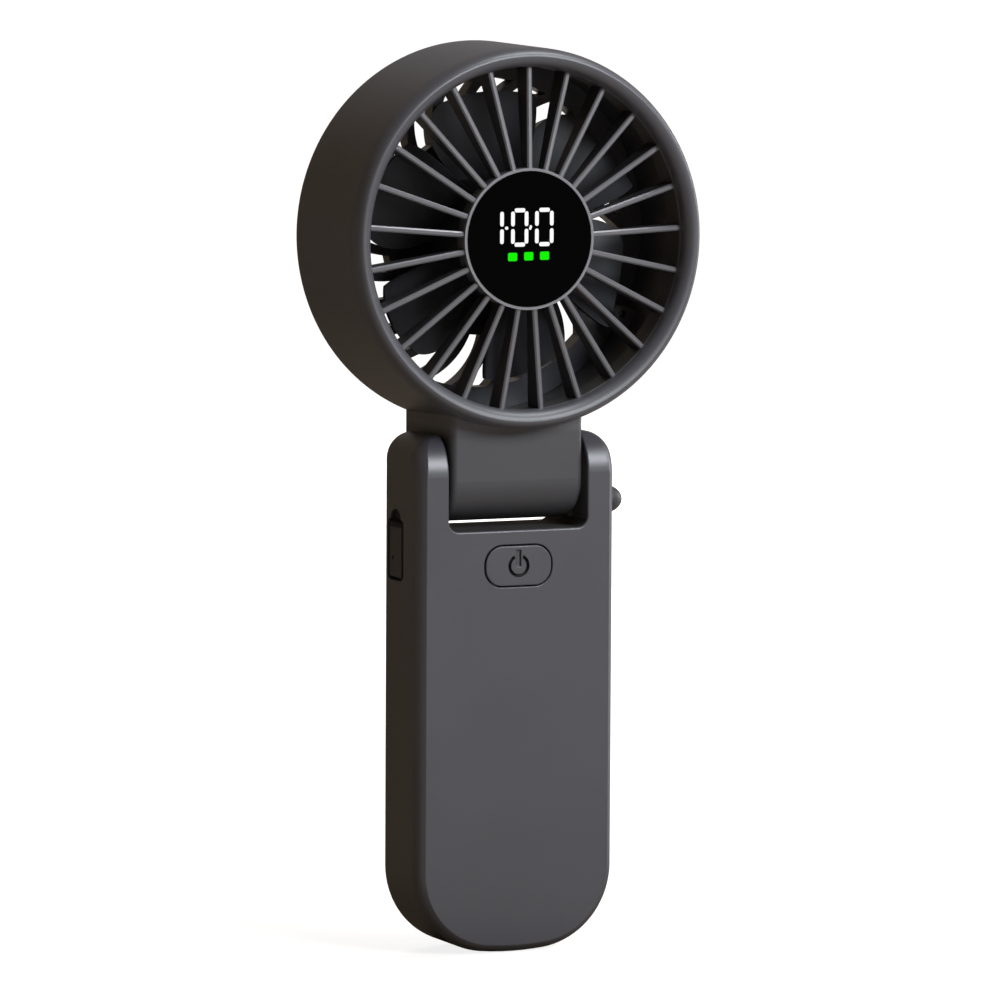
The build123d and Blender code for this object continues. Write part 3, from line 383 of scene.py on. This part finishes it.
def rounded_reach(sweep, half_w, half_h, corner):
    """Distance from the middle of a rounded rectangle to its edge: a flat side, or a corner's circle."""
    across, along = np.abs(np.cos(sweep)), np.abs(np.sin(sweep))
    flat = np.minimum(half_w / np.maximum(across, TINY), half_h / np.maximum(along, TINY))
    corner_x, corner_z = half_w - corner, half_h - corner
    shadow = across * corner_x + along * corner_z
    bend = shadow + np.sqrt(np.maximum(shadow ** 2 - corner_x ** 2 - corner_z ** 2 + corner ** 2, 0.0))
    on_corner = (flat * across > corner_x) & (flat * along > corner_z)
    return np.where(on_corner, bend, flat)


def sign_depth(x, z):
    """Depth of the cut: near a ring open at the top, or near an upright bar through the opening."""
    ring = np.abs(np.hypot(x, z) - SIGN_RING_R) - SIGN_RING_HALF_W
    lean = np.abs(np.arctan2(x, z)) - SIGN_RING_GAP
    ring = np.maximum(ring, -SIGN_RING_R * lean)
    bar_mid, bar_half = (SIGN_BAR_TOP + SIGN_BAR_FOOT) / 2, (SIGN_BAR_TOP - SIGN_BAR_FOOT) / 2
    bar = np.maximum(np.abs(x) - SIGN_BAR_HALF_W, np.abs(z - bar_mid) - bar_half)
    return np.maximum(SIGN_RING_DEPTH * ease(0.5 - ring / SIGN_RING_WALL),
                      SIGN_BAR_DEPTH * ease(0.5 - bar / SIGN_BAR_WALL))


def button_skin():
    """Rings from the middle of the face to its outline, then over the edge, flange and stem to the back."""
    outline = rounded_reach(SWEEP, BUTTON_HALF_W, BUTTON_HALF_H, BUTTON_CORNER)
    inner = np.linspace(0.0, SIGN_CLEAR_R, 96)[:, None] + 0 * SWEEP
    share = np.linspace(0.0, 1.0, 14)[1:, None]
    outer = SIGN_CLEAR_R + share * (outline - BUTTON_EDGE_R - SIGN_CLEAR_R)
    turn = np.linspace(0.0, np.pi / 2, 7)[1:, None]
    edge = outline - BUTTON_EDGE_R * (1 - np.sin(turn))
    wall = np.stack([outline, outline + FLANGE_REACH, outline + FLANGE_REACH])
    stem = np.array([STEM_R, STEM_R, 0.0])[:, None] + 0 * SWEEP
    radius = np.concatenate([inner, outer, edge, wall, stem])
    inner_y = BUTTON_FACE_Y + sign_depth(inner * np.cos(SWEEP), inner * np.sin(SWEEP))
    edge_y = BUTTON_FACE_Y + BUTTON_EDGE_R * (1 - np.cos(turn)) + 0 * SWEEP
    lower_y = np.repeat([FLANGE_FRONT_Y, FLANGE_BACK_Y, STEM_END_Y], 2)[:, None] + 0 * SWEEP
    height = np.concatenate([inner_y, 0 * outer + BUTTON_FACE_Y, edge_y, lower_y])
    return np.stack([radius * np.cos(SWEEP), height, BUTTON_Z + radius * np.sin(SWEEP)], axis=-1)


button_plastic = finish("button_plastic", GRAIN, SHELL_GREY, **SHELL_FINISH)
# Painted shade: the walls of the sign's cuts and its ring's floor are painted dark.
for front, rear in SIGN_PAINTED_SHADE_LAYERS:
    tint_box(button_plastic, (-9.0, front, 78.0), (9.0, rear, 89.0), PAINTED_RECESS_SHADE, soft=0.03, duller=0.5)
button_cap = skin_mesh("power_button_cap", [button_skin()], button_plastic, "power_button", "power_button")


# Lanyard post of the shell's plastic, painted darker as painted shade, and the
# fold hinge: steel axles in the arms, nylon slip washers, and cupped spring
# washers that give it its drag.
# Painted shade: the post's plastic is a darker copy of the shell's grey.
post_shaded_plastic = finish("post_shaded_plastic", GRAIN, (0.040, 0.039, 0.043), roughness=0.42, fineness=5000.0,
                      depth=0.02)
washer_nylon = finish("washer_nylon", GRAIN, (0.72, 0.72, 0.69), roughness=0.5, fineness=5000.0, depth=0.01)
dress(post_shaded_plastic, "lanyard_post")
dress(steel, "hinge_axle_left", "hinge_axle_right", "friction_springs")
dress(washer_nylon, "hinge_washer_left", "hinge_washer_right")


# Head: the drum with its rolled rim and the front half of the neck are one
# moulding, its neck painted darker as painted shade under the head. A rear
# cover closes the neck with two screws.
NECK_PAINTED_SHADE = (0.031, 0.031, 0.037)
NECK = (-20.0, -12.0, 88.0), (20.0, 16.0, 112.2)
NECK_SCREWS = (-6.0, 107.0), (6.0, 107.0)
NECK_SEAT_Y, NECK_TIP_Y = 8.05, -4.95
head_plastic = finish("head_plastic", GRAIN, SHELL_GREY, roughness=0.46, fineness=5000.0, depth=0.02,
                      specular=1.0)
# Painted shade: the neck below the head is painted darker.
tint_box(head_plastic, *NECK, NECK_PAINTED_SHADE, soft=0.8, duller=0.14)
dress(head_plastic, "head_shell", "neck_rear_cover")
cross_screws("neck_cross_screws", NECK_SCREWS, NECK_SEAT_Y, NECK_TIP_Y, "head", "neck_screws")


# Motor: a brass bearing tube carries two sintered bushes, a stack of steel
# teeth wound with enamelled wire and a ring board; the can and magnet run round it.
HEAD_Z = 153.1
TOOTH_COUNT, COIL_LOW, COIL_HIGH, COIL_TURNS = 9, 5.4, 8.2, 9
COIL_HALF_W, COIL_HALF_D, COIL_MID_Y, COIL_T = 0.68, 3.03, 0.4, 0.5
COIL_IN_CORNER, COIL_OUT_CORNER, WIRE_BULGE = 0.3, 0.8, 0.18


def coil_skin(angle):
    """Turns of wire round one tooth: a rounded box whose outside bulges once for each turn, closed within."""
    along = np.linspace(0.0, 1.0, 82)[:, None]
    bulge = np.abs(np.sin(np.pi * (along * COIL_TURNS + ROUND / (2 * np.pi))))
    inside = rounded_reach(ROUND, COIL_HALF_W, COIL_HALF_D, COIL_IN_CORNER)[None]
    outside = rounded_reach(ROUND, COIL_HALF_W + COIL_T, COIL_HALF_D + COIL_T, COIL_OUT_CORNER)
    outside = outside + WIRE_BULGE * bulge
    reach = np.concatenate([outside, inside, inside, outside[:1]])
    along = np.concatenate([along, [[1.0], [0.0], [0.0]]])
    across, depth = reach * np.cos(ROUND), COIL_MID_Y + reach * np.sin(ROUND)
    out = COIL_LOW + (COIL_HIGH - COIL_LOW) * along + 0 * ROUND
    x = across * np.cos(angle) + out * np.sin(angle)
    z = out * np.cos(angle) - across * np.sin(angle)
    return np.stack([x, depth, HEAD_Z + z], axis=-1)


brass_tube = finish("brass_tube", TURNED, (0.6, 0.45, 0.2), roughness=0.28, fineness=3000.0, depth=0.01,
                    metallic=1.0)
copper_wire = finish("copper_wire", TURNED, (0.62, 0.3, 0.16), roughness=0.3, fineness=2500.0, depth=0.01,
                     metallic=1.0)
magnet_grey = finish("magnet_grey", GRAIN, (0.08, 0.08, 0.085), roughness=0.55, fineness=7000.0, depth=0.04)
coil_angles = -2 * np.pi * np.arange(TOOTH_COUNT) / TOOTH_COUNT
coils = skin_mesh("wound_coils", [coil_skin(a) for a in coil_angles], copper_wire, "head", "stator_windings")
dress(brass_tube, "bearing_tube", "front_bearing", "rear_bearing")
dress(steel, "stator_core", "rotor_can", "motor_shaft", "shaft_clip")
dress(magnet_grey, "magnet_ring")
dress(board_green, "motor_board")


# Impeller, a cup-shaped hub and six broad twisted blades in one smooth dark
# moulding, pressed over the motor's can.
impeller_plastic = finish("impeller_plastic", GRAIN, (0.030, 0.030, 0.033), roughness=0.45, fineness=2500.0,
                          depth=0.008, specular=0.35)
dress(impeller_plastic, "impeller")


# Grilles: straight spokes in front, their pale fronts a painted highlight and their
# flanks painted shade, round the display's cup, whose front edge is a painted
# highlight; and behind a ring of the shell's plastic with swirling ribs, held by three screws.
SPOKE_IN_R, SPOKE_IN_Y, SPOKE_OUT_R, SPOKE_OUT_Y = 14.7, -14.0, 36.9, -12.5
SPOKE_SLOPE = (SPOKE_OUT_Y - SPOKE_IN_Y) / (SPOKE_OUT_R - SPOKE_IN_R)
SPOKE_AXIS_Y = SPOKE_IN_Y - SPOKE_SLOPE * SPOKE_IN_R
FLANK_START, FLANK_FULL, FLANK_PAINTED_SHADE = 0.25, 0.6, (0.035, 0.034, 0.038)
CUP_EDGE_IN, CUP_EDGE_OUT, CUP_EDGE_SOFT, CUP_EDGE_PAINTED_HIGHLIGHT = 14.5, 14.98, 0.05, (0.24, 0.24, 0.26)
REAR_SCREW_COUNT, REAR_SCREW_R, REAR_SEAT_Y, REAR_TIP_Y = 3, 36.0, 14.8, 6.0


def within(tree, value, low, high, soft):
    """1 where a value lies between two bounds, 0 outside, with a soft step at each bound."""
    rise = ramp(tree, value, low - soft, low + soft)
    fall = ramp(tree, value, high - soft, high + soft, low=1.0, high=0.0)
    return work_out(tree, "MULTIPLY", rise, fall)


def grille_masks(tree):
    """Masks for painted shade on the spokes' flanks, by depth behind their sloping front edges, and for a
    painted highlight on the cup's front edge, by radius.
    """
    place = own_space(tree)
    arm = work_out_vector(tree, "SUBTRACT", place, (0.0, 0.0, HEAD_Z * MM))
    arm = work_out_vector(tree, "MULTIPLY", arm, (1.0, 0.0, 1.0))
    radius = put(tree, "ShaderNodeVectorMath", {0: arm}, operation="LENGTH").outputs["Value"]
    depth = put(tree, "ShaderNodeSeparateXYZ", {0: place}).outputs["Y"]
    level = work_out(tree, "MULTIPLY_ADD", radius, -SPOKE_SLOPE, depth)
    flanks = ramp(tree, level, (SPOKE_AXIS_Y + FLANK_START) * MM, (SPOKE_AXIS_Y + FLANK_FULL) * MM)
    return flanks, within(tree, radius, CUP_EDGE_IN * MM, CUP_EDGE_OUT * MM, CUP_EDGE_SOFT * MM)


# Painted highlight: the grille's pale grey stands in for light on the spokes' fronts.
grille_plastic = finish("grille_plastic", GRAIN, (0.15, 0.148, 0.16), roughness=0.30, fineness=5000.0,
                        depth=0.01, specular=0.85)
# Painted shade on the spokes' flanks and a painted highlight on the cup's front edge.
spoke_flank_shade, cup_edge_highlight = grille_masks(grille_plastic.node_tree)
tint(grille_plastic, spoke_flank_shade, FLANK_PAINTED_SHADE, duller=0.15)
tint(grille_plastic, cup_edge_highlight, CUP_EDGE_PAINTED_HIGHLIGHT, duller=0.0)
dress(grille_plastic, "front_grille")
dress(shell_plastic, "rear_grille")
rear_angles = 2 * np.pi * np.arange(REAR_SCREW_COUNT) / REAR_SCREW_COUNT
rear_places = [(REAR_SCREW_R * np.sin(a), HEAD_Z + REAR_SCREW_R * np.cos(a)) for a in rear_angles]
cross_screws("rear_grille_cross_screws", rear_places, REAR_SEAT_Y, REAR_TIP_Y, "head", "rear_grille_screws")


# Display: lit bars of a three-figure counter and three charge squares shine
# through a smoked black window in the hub's cup, with their board behind it.
# A bar or square is given by its half width, half height and corner.
LENS_FRONT_Y, LIT_RISE, LIT_GAP, LIT_EDGE, LIT_BEVEL, LIT_RING = -14.3, 0.03, 0.005, 0.02, 0.01, 0.6
BAR_SIZE, BAR_ROWS = (0.43, 1.56, 0.4), (4.33, 0.63)
CAP_SIZE, CAP_ROWS, CAP_SHIFT = (1.22, 0.44, 0.38), (6.13, -1.12), 0.04
FIGURE_COLUMNS = (-6.38, -6.38), (-3.84, -0.69), (1.72, 5.18)
ROUND_DOT, LEANING_DOT = (-5.3, 2.42, 0.38, 0.34, 0.33), (0.24, 2.44, 0.27, 0.5, 0.26, -0.35)
SQUARE_SIZE, SQUARE_PLACES = (1.07, 0.88, 0.35), ((-3.88, -3.7), (-0.14, -3.62), (3.55, -3.58))
BAR_SWEEP = np.linspace(0.0, 2 * np.pi, 64, endpoint=False)


def lit(name, colour):
    """A lit surface: a faint noise over an even glow of one colour."""
    material = bpy.data.materials.new(name)
    material.use_nodes = True
    tree = material.node_tree
    shader = tree.nodes["Principled BSDF"]
    shader.inputs["Base Color"].default_value = BLACK
    shader.inputs["Specular IOR Level"].default_value = 0.0
    shader.inputs["Emission Strength"].default_value = 1.0
    glow = noise(tree, own_space(tree), scale=900.0, detail=2.0)
    tree.links.new(mottle(tree, (*colour, 1.0), glow, low=0.97, high=1.03), shader.inputs["Emission Color"])
    return material


def bar_skin(x, z, half_w, half_h, corner, lean=0.0):
    """A flat lozenge: a rounded rectangle turned by a lean, from its middle over its edge to its back."""
    reach = rounded_reach(BAR_SWEEP, half_w, half_h, corner)
    radius = np.stack([0 * reach, LIT_RING * reach, reach - LIT_EDGE, reach, reach, 0 * reach])
    front, rear = LENS_FRONT_Y - LIT_RISE, LENS_FRONT_Y - LIT_GAP
    height = np.array([front, front, front, front + LIT_BEVEL, rear, rear])[:, None] + 0 * radius
    turned = BAR_SWEEP + lean
    return np.stack([x + radius * np.cos(turned), height, HEAD_Z + z + radius * np.sin(turned)], axis=-1)


def figure(left, right):
    """The bars of a nought between two columns, or of a one where both columns are the same."""
    bars = [(x, z, *BAR_SIZE) for x in sorted({left, right}) for z in BAR_ROWS]
    if left != right:
        bars += [((left + right) / 2 + CAP_SHIFT, z, *CAP_SIZE) for z in CAP_ROWS]
    return bars


lens_black = finish("lens_black", GRAIN, (0.0015, 0.0015, 0.0015), roughness=0.16, fineness=3000.0,
                    depth=0.002, specular=0.05)
dress(lens_black, "display_lens")
dress(component_black, "led_display")
dress(board_green, "display_board")
lit_bars = [bar for columns in FIGURE_COLUMNS for bar in figure(*columns)] + [ROUND_DOT, LEANING_DOT]
skin_mesh("lit_figures", [bar_skin(*bar) for bar in lit_bars], lit("lit_white", (1.0, 1.0, 1.0)), "head")
skin_mesh("charge_squares", [bar_skin(x, z, *SQUARE_SIZE) for x, z in SQUARE_PLACES],
          lit("lit_green", (0.0086, 0.9, 0.0021)), "head")


# Stage: a plain pale floor, four soft boxes, two brown cards, unseen by the camera,
# that keep the left side dim and warm, and a camera at the photograph's angle.
CAMERA_AZIMUTH, CAMERA_ELEVATION, CAMERA_ROLL = np.radians([-24.57, 5.48, 0.30])
CAMERA_AIM, CAMERA_DISTANCE = np.array([0.0, 0.0, 0.1012]), 1.5
FOCAL_PIXELS, IMAGE_PIXELS, AIM_ABOVE_MIDDLE, SENSOR_WIDTH = 7020.0, 1000.0, 22.2, 36.0
FLOOR_REACH = 12.0
CARD_LEFT, CARD_RIGHT, CARD_TOP = (-0.36, 0.24), (0.0, 0.40), 0.5
MAT_LEFT, MAT_RIGHT, MAT_FRONT, MAT_BACK, MAT_Z = -0.30, 0.12, -0.03, 0.42, 0.0005


def area_light(name, place, aim, size, power, colour):
    """A soft box at a place, turned to face its aim."""
    lamp = bpy.data.lights.new(name, "AREA")
    lamp.shape = "RECTANGLE"
    lamp.size, lamp.size_y = size
    lamp.energy = power
    lamp.color = colour
    box = bpy.data.objects.new(name, lamp)
    box.location = place
    box.rotation_euler = (Vector(aim) - Vector(place)).to_track_quat("-Z", "Y").to_euler()
    bpy.context.scene.collection.objects.link(box)
    return box


def seen_white(tree, along):
    """How white a background looks: fully to camera and glass, to glossy rays only behind the object."""
    path = put(tree, "ShaderNodeLightPath").outputs
    shown = work_out(tree, "MULTIPLY", path["Is Glossy Ray"], ramp(tree, along, start=0.5, end=3.0))
    clear = work_out(tree, "MAXIMUM", path["Is Camera Ray"], path["Is Transmission Ray"])
    return work_out(tree, "MAXIMUM", clear, shown)


def world_light():
    """A dim warm sky lights the object; what sees the background sees plain white."""
    world = bpy.data.worlds.new("studio")
    bpy.context.scene.world = world
    world.use_nodes = True
    tree = world.node_tree
    ray = put(tree, "ShaderNodeSeparateXYZ", {0: put(tree, "ShaderNodeTexCoord").outputs["Generated"]})
    dim = put(tree, "ShaderNodeBackground", {"Color": (1.0, 0.82, 0.62, 1.0), "Strength": 0.16})
    white = put(tree, "ShaderNodeBackground", {"Color": WHITE, "Strength": 1.0})
    mix = put(tree, "ShaderNodeMixShader", {0: seen_white(tree, ray.outputs["Y"]),
                                            1: dim.outputs["Background"], 2: white.outputs["Background"]})
    tree.links.new(mix.outputs["Shader"], tree.nodes["World Output"].inputs["Surface"])


def aim_camera():
    """Looks at the aim from an azimuth, elevation and roll, then dips to put the aim above the middle."""
    back = np.array([np.sin(CAMERA_AZIMUTH) * np.cos(CAMERA_ELEVATION),
                     -np.cos(CAMERA_AZIMUTH) * np.cos(CAMERA_ELEVATION), np.sin(CAMERA_ELEVATION)])
    right = np.array([np.cos(CAMERA_AZIMUTH), np.sin(CAMERA_AZIMUTH), 0.0])
    up = np.cross(back, right)
    place = CAMERA_AIM + CAMERA_DISTANCE * back
    right, up = (np.cos(CAMERA_ROLL) * right + np.sin(CAMERA_ROLL) * up,
                 np.cos(CAMERA_ROLL) * up - np.sin(CAMERA_ROLL) * right)
    dip = np.arctan(AIM_ABOVE_MIDDLE / FOCAL_PIXELS)
    up, back = np.cos(dip) * up - np.sin(dip) * back, np.cos(dip) * back + np.sin(dip) * up
    lens = bpy.data.cameras.new("camera")
    lens.sensor_width = SENSOR_WIDTH
    lens.lens = FOCAL_PIXELS / IMAGE_PIXELS * SENSOR_WIDTH
    camera = bpy.data.objects.new("camera", lens)
    turn = np.eye(4)
    turn[:3] = np.stack([right, up, back, place], axis=1)
    camera.matrix_world = Matrix(turn.tolist())
    bpy.context.scene.collection.objects.link(camera)
    bpy.context.scene.camera = camera


def sheet(name, corners, material):
    """A flat sheet of the stage between its corners, in metres."""
    mesh = bpy.data.meshes.new(name)
    mesh.from_pydata(corners, [], [tuple(range(len(corners)))])
    mesh.materials.append(material)
    piece = bpy.data.objects.new(name, mesh)
    bpy.context.scene.collection.objects.link(piece)
    return piece


def level_corners(left, right, front, back, z):
    """The corners of a level sheet, counter-clockwise seen from above."""
    return [(left, front, z), (right, front, z), (right, back, z), (left, back, z)]


def floor_paper():
    """Pale paper that takes the object's shadow, with a glow that fills it to white away from the object."""
    material = finish("floor_paper", GRAIN, (0.41, 0.37, 0.33), roughness=0.9, fineness=900.0, depth=0.02,
                      specular=0.0)
    tree = material.node_tree
    shader = tree.nodes["Principled BSDF"]
    place = own_space(tree)
    reach = put(tree, "ShaderNodeVectorMath", {0: place}, operation="LENGTH").outputs["Value"]
    fill = ramp(tree, reach, start=0.2, end=1.0, low=0.85, high=1.0)
    seen = seen_white(tree, put(tree, "ShaderNodeSeparateXYZ", {0: place}).outputs["Y"])
    tree.links.new(work_out(tree, "MULTIPLY", seen, fill), shader.inputs["Emission Strength"])
    shader.inputs["Emission Color"].default_value = WHITE
    return material


world_light()
area_light("front_box", place=(0.44, -0.95, 0.60), aim=(0.0, 0.0, 0.11), size=(0.4, 0.4), power=10.0,
           colour=(0.89, 0.94, 1.0))
area_light("top_box", place=(0.36, -0.18, 0.98), aim=(0.0, 0.0, 0.15), size=(0.3, 0.3), power=5.0,
           colour=(0.92, 0.95, 1.0))
area_light("side_box", place=(1.0, 0.05, 0.3), aim=(0.0, 0.0, 0.15), size=(0.2, 0.6), power=3.5,
           colour=(0.92, 0.95, 1.0))
back_box = area_light("back_box", place=(0.55, 1.0, 0.5), aim=(0.0, 0.0, 0.1), size=(0.6, 0.6), power=10.0,
                      colour=(0.95, 0.97, 1.0))
back_box.visible_glossy = False
aim_camera()
bpy.context.scene.view_settings.view_transform = "Standard"

sheet("floor", level_corners(-FLOOR_REACH, FLOOR_REACH, -FLOOR_REACH, FLOOR_REACH, 0.0), floor_paper())
flag_cloth = finish("flag_cloth", GRAIN, (0.165, 0.127, 0.088), roughness=0.9, fineness=1500.0, depth=0.05,
                    specular=0.0)
card_corners = [(*CARD_RIGHT, 0.0), (*CARD_LEFT, 0.0), (*CARD_LEFT, CARD_TOP), (*CARD_RIGHT, CARD_TOP)]
mat_corners = level_corners(MAT_LEFT, MAT_RIGHT, MAT_FRONT, MAT_BACK, MAT_Z)
for name, corners in (("flag", card_corners), ("flag_on_floor", mat_corners)):
    flag = sheet(name, corners, flag_cloth)
    flag.visible_camera = False
    flag.visible_shadow = False
